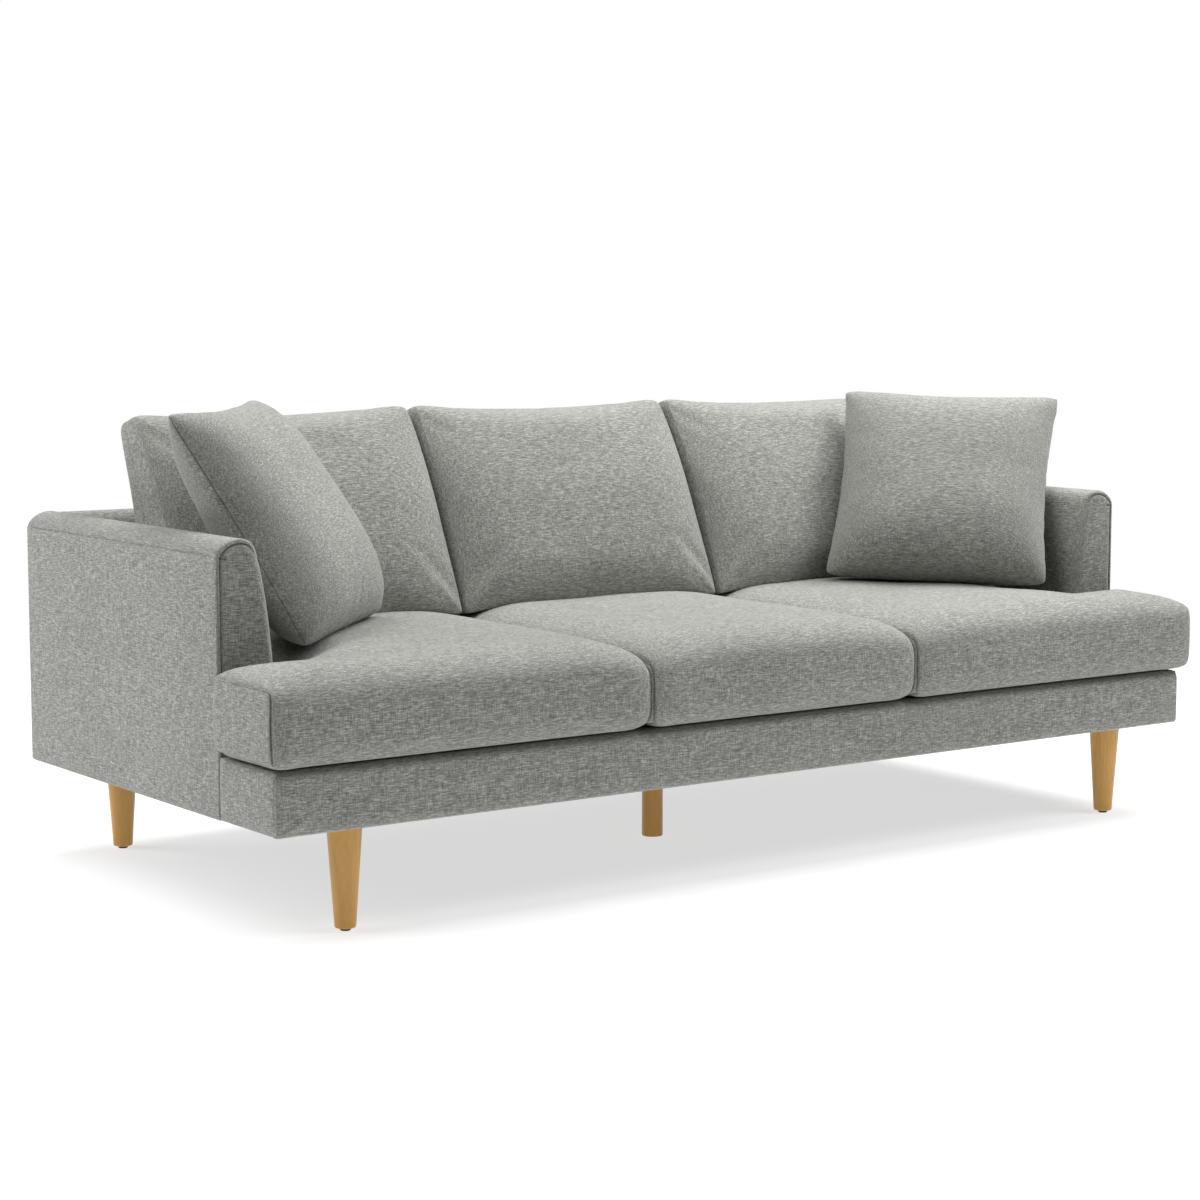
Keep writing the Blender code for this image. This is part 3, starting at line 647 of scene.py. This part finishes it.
def add_cloth(obj, pinned):
    obj.vertex_groups.new(name="pinned").add(pinned, 1.0, "REPLACE")
    cloth = obj.modifiers.new("cloth", "CLOTH")
    for key, value in CLOTH_SETTINGS.items():
        setattr(cloth.settings, key, value)
    cloth.settings.effector_weights.gravity = 0.0
    cloth.collision_settings.use_collision = False
    cloth.collision_settings.use_self_collision = False
    cloth.point_cache.frame_start = 1
    cloth.point_cache.frame_end = CLOTH_FRAMES
    return cloth


def simulate(obj, cap, pinned):
    """Lets the cloth swell under pressure, then keeps the shape, moved by at most cap."""
    scene = bpy.context.scene
    rest = np.array([v.co[:] for v in obj.data.vertices])
    cloth = add_cloth(obj, pinned)
    for number in range(1, CLOTH_FRAMES + 1):
        scene.frame_set(number)
    evaluated = obj.evaluated_get(bpy.context.evaluated_depsgraph_get())
    moved = np.array([v.co[:] for v in evaluated.data.vertices])
    obj.modifiers.remove(cloth)
    step = moved - rest
    length = np.linalg.norm(step, axis=1, keepdims=True)
    step *= np.minimum(1.0, cap / np.maximum(length, TINY))
    for vertex, place in zip(obj.data.vertices, rest + step):
        vertex.co = place
    scene.frame_set(1)


def finish_cushion(obj, seam_depth):
    """One subdivision, then the seams sink in where their vertex group says."""
    seams = obj.vertex_groups["seam"].index
    obj.modifiers.new("subdivision", "SUBSURF").levels = 1
    graph = bpy.context.evaluated_depsgraph_get()
    fine = bpy.data.meshes.new_from_object(obj.evaluated_get(graph), preserve_all_data_layers=True,
                                           depsgraph=graph)
    obj.modifiers.clear()
    old = obj.data
    obj.data = fine
    bpy.data.meshes.remove(old)
    fine.shade_smooth()
    sunk = []
    for vertex in fine.vertices:
        weight = next((g.weight for g in vertex.groups if g.group == seams), 0.0)
        sunk.append(vertex.co - vertex.normal * seam_depth * weight**SEAM_FALLOFF)
    for vertex, place in zip(fine.vertices, sunk):
        vertex.co = place
    obj.vertex_groups.clear()


def sew(name, bm, matrix, seam, pinned, cap, seam_depth):
    """Makes the cushion's cloth from its shape: swollen, subdivided, with its seams sunk."""
    piece = new_object(name, bm, LINEN, matrix)
    piece.vertex_groups.new(name="seam").add(seam, 1.0, "REPLACE")
    simulate(piece, cap, pinned)
    finish_cushion(piece, seam_depth)
    return piece


def node_matrix(node, turn):
    low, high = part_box(node)
    middle = [(a + b) / 2 for a, b in zip(low, high)]
    return Matrix.Translation(middle) @ turn.to_4x4()


# ---- back cushions
BACK_LEAN = math.radians(17.0)
BACK_HEIGHT = 0.430
BACK_DEPTH = 0.172
BACK_APART = 0.001                      # half the gap between neighbours
BACK_RADII = (0.022, 0.042, 0.022)      # of the rounded edges, across, through and up
BACK_SHARP = 0.45                       # how much smaller they are at the bottom
BACK_THIN = 0.26                        # how much thinner the edges are than the middle
BACK_FLAT = 4                           # how level the faces stay towards the edges
BACK_TAPER = 0.38                       # how much thinner the top is, and thicker the bottom
BACK_BEND, BEND_POWER = 0.030, 1.5      # how far its top hangs back, and how late the bend starts
BACK_DIP = 0.010                        # how much lower the top is in its middle
BACK_DROOP = 0.007                      # and how much lower at the sofa's ends
BACK_SEED_STEP = 2.0                    # between one back cushion's unevenness and the next one's
BACK_WAIST, BACK_SHOULDER = 0.010, 0.018    # how far the sides' middles and tops are pulled in, as a share
BACK_FOOT = 0.012                       # how far the bottom corners hang down between the seat cushions
CORNER_POWER = 6                        # how close to the corners those two stay
BACK_WAVE, BACK_BROAD = 0.0035, (0.4, 0.3)  # unevenness of the faces, and how fine it is across and up


def rounded(point, low, high, radii):
    """Moves a point on a sharp box onto the same box with rounded edges."""
    nearest = [min(max(c, a + r), b - r) for c, a, b, r in zip(point, low, high, radii)]
    offset = [(c - n) / r for c, n, r in zip(point, nearest, radii)]
    length = math.sqrt(sum(o * o for o in offset))
    if length < TINY:
        return point
    return [n + o / length * r for n, o, r in zip(nearest, offset, radii)]


def back_cushion_place(point, half, droop, seed):
    """Where a point of the cushion's plain box goes: crowned, wedge-shaped, level underneath."""
    sharp = 1 - BACK_SHARP * max(0.0, -point[2] / half[2])
    x, y, z = rounded(point, [-h for h in half], half, [radius * sharp for radius in BACK_RADII])
    u, v = x / half[0], z / half[2]
    above, below = max(0.0, v), max(0.0, -v)
    full = math.sqrt(max(0.0, (1 - u**BACK_FLAT) * (1 - v**BACK_FLAT)))
    wave = unevenness((u * BACK_BROAD[0], v * BACK_BROAD[1], seed), BACK_WAVE)
    y *= (1 - BACK_THIN + BACK_THIN * full) * (1 - BACK_TAPER * v)
    y += wave * full + BACK_BEND * above**BEND_POWER
    x *= 1 - BACK_WAIST * (1 - v * v) - BACK_SHOULDER * above**CORNER_POWER
    z -= BACK_DIP * (1 - u * u) * above + BACK_DROOP * max(0.0, droop * u)**2 * above
    z += y * math.tan(BACK_LEAN) * below**BEND_POWER - BACK_FOOT * u**CORNER_POWER * below
    return (x, y, z)


def build_back_cushion(side, droop, seed):
    node = "back_cushion_" + side
    low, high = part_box(node)
    half = ((high[0] - low[0]) / 2 - BACK_APART, BACK_DEPTH / 2, BACK_HEIGHT / 2)
    lines = [edge_lines(-h, h) for h in half]
    cells = {(i, j) for i in range(len(lines[0]) - 1) for j in range(len(lines[1]) - 1)}
    bm, table, _ = box_surface(lines, cells)
    for v in bm.verts:
        v.co = back_cushion_place(v.co, half, droop, seed)
    middle = len(lines[1]) // 2
    ends = (0, len(lines[0]) - 1)
    seam = [v.index for (i, j, k), v in table.items()
            if j == middle and (i in ends or k in (0, len(lines[2]) - 1))]
    pinned = [v.index for (i, j, k), v in table.items() if i in ends or j == len(lines[1]) - 1 or k == 0]
    matrix = node_matrix(node, Matrix.Rotation(-BACK_LEAN, 3, "X"))
    piece = sew("plump_" + node, bm, matrix, seam, pinned, **BACK_SEWING)
    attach(piece, "back_" + side)
    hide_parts(node)


# ---- scatter cushions
SCATTER_SIZE, SCATTER_PITCH = 0.484, 0.013
SCATTER_SEEDS = {"left": 11.0, "right": 17.0}
SCATTER_PINNED = 3                      # rings of the grid, from the rim in, that the cloth keeps
SCATTER_FRONT, SCATTER_REAR = 0.096, 0.092   # how far each face stands out from the seam
SCATTER_SQUARE, SCATTER_STEEP = 3.6, 0.55    # shape of a face: how flat its middle, how steep its rim
SCATTER_LOW = 0.10                      # how much fuller it is at the bottom
SCATTER_TURNS = {"left": (42.3, 31.3, -1.5), "right": (-46.4, 34.9, 1.8)}   # turn, lean, spin in degrees
SCATTER_WAIST = 0.072                   # how far the sides' middles are pulled in, as a share
SCATTER_REST = 0.15                     # how much of that is left where it stands on the seat
SCATTER_TIP, TIP_POWER = 0.030, 16      # how far its corners are rounded off, and how close to them
SCATTER_RISES = (0.0025, 0.006, 0.012, 0.020, 0.030)    # heights of the grid lines next to the rim
SCATTER_WAVE, SCATTER_BROAD = 0.006, 0.25   # unevenness of the faces, and how fine it is
PUCKER, PUCKER_FINE, PUCKER_FADE = 0.16, 1.5, 0.035     # gathers along the seam: share, fineness, fade
PUCKER_PULL = 0.09                      # how much of the gathers shows in the seam's own line


def scatter_lines():
    """Grid lines across the cushion, set by how high the face has risen near the rim."""
    half = SCATTER_SIZE / 2
    fine = [half / SCATTER_SQUARE * (rise / SCATTER_FRONT)**(1 / SCATTER_STEEP) for rise in SCATTER_RISES]
    return edge_lines(-half, half, SCATTER_PITCH, fine)


def scatter_place(x, z, front, seed):
    half = SCATTER_SIZE / 2
    u, v = x / half, z / half
    full = max(0.0, (1 - abs(u)**SCATTER_SQUARE) * (1 - abs(v)**SCATTER_SQUARE))**SCATTER_STEEP
    gathers = unevenness((u * PUCKER_FINE, v * PUCKER_FINE, seed), PUCKER)
    rim = math.exp(-min(half - abs(x), half - abs(z)) / PUCKER_FADE)
    y = (-SCATTER_FRONT if front else SCATTER_REAR) * full * (1 - SCATTER_LOW * v) * (1 + gathers * rim)
    y += unevenness((u * SCATTER_BROAD, v * SCATTER_BROAD, seed + front), SCATTER_WAVE) * full
    tip = SCATTER_TIP * abs(u * v)**TIP_POWER
    pull = tip + PUCKER_PULL * gathers * rim
    sag = SCATTER_WAIST * (1 - u * u) * (SCATTER_REST if z < 0 else 1.0)
    return (x * (1 - SCATTER_WAIST * (1 - v * v) - pull), y, z * (1 - sag - pull))


def build_scatter_cushion(side):
    """Two sheets sewn together round their rim, crowned, with their sides pulled in."""
    node = "scatter_cushion_" + side
    lines, seed = scatter_lines(), SCATTER_SEEDS[side]
    bm, table = two_sheets(lines, lines, lambda x, z, front: scatter_place(x, z, front, seed))
    last = len(lines) - 1
    from_rim = {vertex.index: min(i, j, last - i, last - j) for (i, j, _), vertex in table.items()}
    seam = [index for index, rings in from_rim.items() if rings == 0]
    pinned = [index for index, rings in from_rim.items() if rings < SCATTER_PINNED]
    turn, lean, spin = [math.radians(value) for value in SCATTER_TURNS[side]]
    leaning = Matrix.Rotation(-lean, 4, "X") @ Matrix.Rotation(spin, 4, "Y")
    bmesh.ops.transform(bm, matrix=leaning, verts=bm.verts)
    matrix = node_matrix(node, Matrix.Rotation(turn, 3, "Z"))
    piece = sew("plump_" + node, bm, matrix, seam, pinned, **SCATTER_SEWING)
    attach(piece, "scatter_" + side)
    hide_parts(node)


# ---- seat cushions
SEAT_GUSSET = (0.310, 0.4385)           # heights of the side gusset's two seams
SEAT_NOSE = (0.012, 0.05)               # how far the front swells past the gusset, and over what reach
SEAT_DOME = (0.031, 0.15)               # the same for the top
SEAT_BELLY = (0.0095, 0.05)             # and for the underside
SEAT_CROWN = 0.007
SEAT_ROUNDING = (0.012, 0.028, 0.052, 0.09)     # front edges' radius at an ear, a joint and further in
SEAT_SLOPE = 1.7                        # how much longer than tall the top front rounding is
JOINT_DROP = (0.010, 0.10)              # how much lower the top is at a joint, and over what reach
SEAT_FALL = (0.24, 0.30)                # the dome's loss at the front, and how far back it ends
SEAT_PRESSED = (0.20, 0.10, 0.12)       # the dome's loss under a back cushion, from where, over what reach
SEAT_SAG = (0.007, 0.025)               # the underside's drop in front of the base, and over what reach
SEAT_WAVE = (0.0028, 0.10)              # unevenness of the top, and over what reach it starts
SEAT_SEED = 30.0
GUSSET_SWELL = 0.003
GUSSET_FADE = 0.012                     # how far in from a side its swelling still shows
ARM_CLEARANCE = 0.004
FRONT_CORNER = 0.012                    # radius, seen from above, of the front corners
EAR_CORNER = 0.016                      # and of the one where an ear meets the arm's front
UNDER_CORNER = 0.013                    # radius of the gusset's turn to the underside
EAR_ROUNDING, EAR_FADE = 0.018, 0.04    # radius of an ear's back edges, and how far from the arm's face
DENT_PLACE = (0.925, -0.195)            # where a scatter cushion's corner presses on the seat
DENT_DEPTH, DENT_REACH = 0.034, 0.13    # how deep the dent is, and how far round that place it reaches


class SeatPlan:
    """A seat cushion seen from above: a rectangle, and on an outer one an ear in front of the arm."""

    def __init__(self, side):
        low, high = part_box("seat_cushion_" + side)
        self.sign = {"left": -1, "centre": 0, "right": 1}[side]
        self.front, self.back = low[1] + SEAT_NOSE[0], high[1]
        self.inner = min(abs(low[0]), abs(high[0])) + GUSSET_SWELL
        self.ear = max(abs(low[0]), abs(high[0]))
        self.outer = HALF_WIDTH - SIDE_FOOT - ARM_CLEARANCE
        self.ear_back = ARM_FRONT_Y - ARM_CLEARANCE
        if self.sign:
            self.sides = ((self.sign * self.inner, -self.sign), (self.sign * self.ear, self.sign))
        else:
            self.inner -= 2 * GUSSET_SWELL
            self.outer = self.ear = self.inner
            self.sides = ((-self.inner, -1), (self.inner, 1))
        self.corners = [(x, self.front, out, -1, FRONT_CORNER) for x, out in self.sides]
        if self.sign:
            self.corners.append((self.sign * self.ear, self.ear_back, self.sign, 1, EAR_CORNER))

    def lines(self):
        if not self.sign:
            return edge_lines(-self.inner, self.inner), edge_lines(self.front, self.back)
        wide = edge_lines(self.inner, self.outer)[:-1] + edge_lines(self.outer, self.ear)
        deep = edge_lines(self.front, self.ear_back)[:-1] + edge_lines(self.ear_back, self.back)
        return sorted(self.sign * x for x in wide), deep

    def holds(self, x, y):
        return abs(x) < self.outer or y < self.ear_back

    def rounded(self, x, y):
        """The same place once the plan's corners are rounded."""
        for corner_x, corner_y, out_x, out_y, radius in self.corners:
            across = radius - (corner_x - x) * out_x
            along = radius - (corner_y - y) * out_y
            if across > 0 and along > 0:
                scale = max(across, along) / math.hypot(across, along)
                x = corner_x - out_x * (radius - across * scale)
                y = corner_y - out_y * (radius - along * scale)
        return x, y

    def gap(self, x, y):
        """Distance in from the nearest edge, not counting the front."""
        if not self.sign:
            return min(self.inner - abs(x), self.back - y)
        inside = self.sign * x - self.inner
        main = min(inside, self.outer - self.sign * x, self.back - y)
        ear = min(inside, self.ear - self.sign * x, self.ear_back - y)
        return max(main, ear)

    def joint_gap(self, x):
        """Distance in from the nearest neighbouring cushion."""
        return self.sign * x - self.inner if self.sign else self.inner - abs(x)


def seat_dent(plan, x, y):
    """How far a scatter cushion's corner presses the outer cushions down."""
    away = math.dist((plan.sign * x, y), DENT_PLACE) / DENT_REACH
    return DENT_DEPTH * max(0.0, 1.0 - away**2)**2 if plan.sign else 0.0


def seat_section(plan, gap, behind):
    """Heights of the top and underside, and the front's place, at one spot of the plan."""
    loss, length = SEAT_FALL
    fall = 1.0 - loss * (1.0 - min(1.0, behind / length))**2
    crown = SEAT_DOME[0] * roll(gap, SEAT_DOME[1]) + SEAT_CROWN * roll(gap, 2 * SEAT_DOME[1])
    pressed = min(1.0, max(0.0, (plan.front + behind - SEAT_PRESSED[1]) / SEAT_PRESSED[2]))
    crown *= 1.0 - SEAT_PRESSED[0] * pressed * pressed * (3 - 2 * pressed)
    belly = SEAT_BELLY[0] * roll(gap, SEAT_BELLY[1])
    sag = SEAT_SAG[0] * roll(gap, 2 * SEAT_SAG[1]) * max(0.0, 1.0 - behind / SEAT_SAG[1])
    nose = plan.front - SEAT_NOSE[0] * roll(gap, SEAT_NOSE[1])
    return SEAT_GUSSET[1] + crown * fall, SEAT_GUSSET[0] - belly - sag, nose


def gusset_shift(plan, x, share):
    """How far the side panels swell between their seams, and turn in to the underside."""
    above = min(1.0, share * (SEAT_GUSSET[1] - SEAT_GUSSET[0]) / UNDER_CORNER)
    turn = UNDER_CORNER * (1.0 - roll(above, 1.0))
    shift = 0.0
    for side_x, out in plan.sides:
        inside = (side_x - x) * out
        swell = GUSSET_SWELL * 4 * share * (1 - share) * max(0.0, 1 - inside / GUSSET_FADE)
        shift += out * (swell - turn * max(0.0, 1 - inside / (4 * UNDER_CORNER)))
    return shift


def ear_back_edge(plan, x, y, z, heights):
    """Rounds the top and bottom of an ear where it faces the arm."""
    radius = EAR_ROUNDING * min(1.0, max(0.0, plan.sign * x - plan.outer) / EAR_FADE)
    centre_y = plan.ear_back - radius
    if y <= centre_y or radius < FLAT_RIM:
        return y, z
    centre_z = min(max(z, heights[0] + radius), heights[1] - radius)
    across, up = y - centre_y, z - centre_z
    scale = max(across, abs(up)) / math.hypot(across, up)
    return centre_y + across * scale, centre_z + up * scale


def seat_place(point, plan, seed):
    """Where a point of the gusset's plain box goes on the swollen cushion."""
    gap, behind = plan.gap(point[0], point[1]), point[1] - plan.front
    top, bottom, nose = seat_section(plan, gap, behind)
    joint = plan.joint_gap(point[0])
    top -= seat_dent(plan, point[0], point[1]) + JOINT_DROP[0] * (1.0 - roll(joint, JOINT_DROP[1]))
    share = (point[2] - SEAT_GUSSET[0]) / (SEAT_GUSSET[1] - SEAT_GUSSET[0])
    x, y = plan.rounded(point[0], point[1])
    x += gusset_shift(plan, point[0], share)
    at_ear, at_joint, inside, reach = SEAT_ROUNDING
    at_side = at_joint if joint < 2 * reach else at_ear
    radius = at_side + (inside - at_side) * roll(gap, reach)
    y += (nose - plan.front) * max(0.0, 1.0 - behind / (2 * inside))
    z = bottom + share * (top - bottom)
    length = radius * (SEAT_SLOPE if share > 0.5 else 1.0)
    centre_y, centre_z = nose + length, min(max(z, bottom + radius), top - radius)
    if y < centre_y:
        across, up = (y - centre_y) / length, (z - centre_z) / radius
        over = math.hypot(across, up)
        y, z = centre_y + across / over * length, centre_z + up / over * radius
    y, z = ear_back_edge(plan, point[0], y, z, (bottom, top))
    wave = unevenness((x, y, z), SEAT_WAVE[0], seed) * roll(gap, SEAT_WAVE[1])
    return (x, y + WAVE_ALONG * wave, z + wave * share)


def build_seat_cushion(side):
    node = "seat_cushion_" + side
    plan = SeatPlan(side)
    x_lines, y_lines = plan.lines()
    z_lines = edge_lines(*SEAT_GUSSET)
    cells = {(i, j) for i in range(len(x_lines) - 1) for j in range(len(y_lines) - 1)
             if plan.holds((x_lines[i] + x_lines[i + 1]) / 2, (y_lines[j] + y_lines[j + 1]) / 2)}
    bm, table, rim = box_surface((x_lines, y_lines, z_lines), cells)
    top = len(z_lines) - 1
    seam = {(*corner, k) for a, b in rim for corner in (a, b) for k in (0, top) if a[1] or b[1]}
    seam.update((i, 0, k) for i in (0, len(x_lines) - 1) for k in range(top + 1))
    for v in bm.verts:
        v.co = seat_place(v.co, plan, SEAT_SEED + plan.sign)
    pinned = [v.index for (i, j, k), v in table.items() if k == 0 or (i, j, k) in seam]
    piece = sew("plump_" + node, bm, None, [table[key].index for key in seam], pinned, **SEAT_SEWING)
    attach(piece, "seat_" + side)
    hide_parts(node)


# ---- stage ----------------------------------------------------------------------------------
def add_area(name, place, target, size, power):
    light = bpy.data.lights.new(name, "AREA")
    light.shape = "RECTANGLE"
    light.size, light.size_y = size
    light.energy = power
    obj = bpy.data.objects.new(name, light)
    obj.location = place
    obj.rotation_euler = (Vector(target) - Vector(place)).to_track_quat("-Z", "Y").to_euler()
    bpy.context.collection.objects.link(obj)


SKY = 0.01                              # strength of the world's light on the sofa
FLOOR_GLOW = 0.66
FLOOR_HALF = 3.3
FLOOR_SHADES = ((0.3, (0.44, 0.44, 0.44)), (0.7, (0.48, 0.48, 0.48)))
FLOOR_SPECK, FLOOR_DETAIL = 6.0, 3.0
FLOOR_ROUGHNESS, FLOOR_SPECULAR = 0.9, 0.1
LIGHT_TARGET = (0.0, 0.0, 0.45)
SOFTBOXES = (
    # name, place, size, power
    ("top_left", (-2.2, 0.3, 4.0), (2.6, 3.0), 106.0),
    ("top_right", (2.4, 0.3, 4.0), (2.6, 3.0), 224.0),
    ("high_right", (3.2, -2.6, 4.0), (2.4, 2.4), 118.0),
    ("back_left", (-4.0, 2.6, 2.4), (3.0, 2.0), 96.0),
)


def build_floor():
    bm = bmesh.new()
    bmesh.ops.create_grid(bm, x_segments=1, y_segments=1, size=FLOOR_HALF)
    g = Graph("pale_floor")
    speck = g.noise(g.node("TexCoord").outputs["Object"], FLOOR_SPECK, FLOOR_DETAIL)
    g.finish(Base_Color=g.ramp(speck, FLOOR_SHADES), Roughness=FLOOR_ROUGHNESS,
             Specular_IOR_Level=FLOOR_SPECULAR, Emission_Color=(*WHITE, 1.0), Emission_Strength=FLOOR_GLOW)
    floor = new_object("floor", bm, g.mat)


def build_sky():
    """White where the camera sees past the floor, and a softer light on the sofa."""
    world = bpy.data.worlds.new("studio")
    world.use_nodes = True
    nodes, links = world.node_tree.nodes, world.node_tree.links
    soft, white = nodes["Background"], nodes.new("ShaderNodeBackground")
    for background, strength in ((soft, SKY), (white, 1.0)):
        background.inputs["Color"].default_value = (*WHITE, 1.0)
        background.inputs["Strength"].default_value = strength
    switch = nodes.new("ShaderNodeMixShader")
    path = nodes.new("ShaderNodeLightPath")
    links.new(path.outputs["Is Camera Ray"], switch.inputs[0])
    links.new(soft.outputs[0], switch.inputs[1])
    links.new(white.outputs[0], switch.inputs[2])
    links.new(switch.outputs[0], nodes["World Output"].inputs["Surface"])
    bpy.context.scene.world = world


def build_stage():
    build_floor()
    build_sky()
    for name, place, size, power in SOFTBOXES:
        add_area(name, place, LIGHT_TARGET, size, power)


def build_camera():
    camera = bpy.data.cameras.new("camera")
    camera.lens = CAMERA_LENS
    camera.sensor_width = CAMERA_SENSOR
    obj = bpy.data.objects.new("camera", camera)
    obj.location = CAMERA_PLACE
    obj.rotation_euler = (math.pi / 2 - CAMERA_PITCH, 0.0, CAMERA_TURN)
    bpy.context.collection.objects.link(obj)
    bpy.context.scene.camera = obj
    bpy.context.scene.view_settings.view_transform = "Standard"


def main():
    build_camera()
    dress_cad_nodes()
    for side, sign in (("left", -1), ("right", 1)):
        build_arm(side, sign)
        build_base_side(side, sign)
    build_back()
    build_outer_back_panel()
    build_base_front()
    for number, side in enumerate(("left", "centre", "right")):
        build_seat_cushion(side)
        build_back_cushion(side, number - 1, BACK_SEED_STEP * number)
    for side in SCATTER_SEEDS:
        build_scatter_cushion(side)
    build_stage()


main()
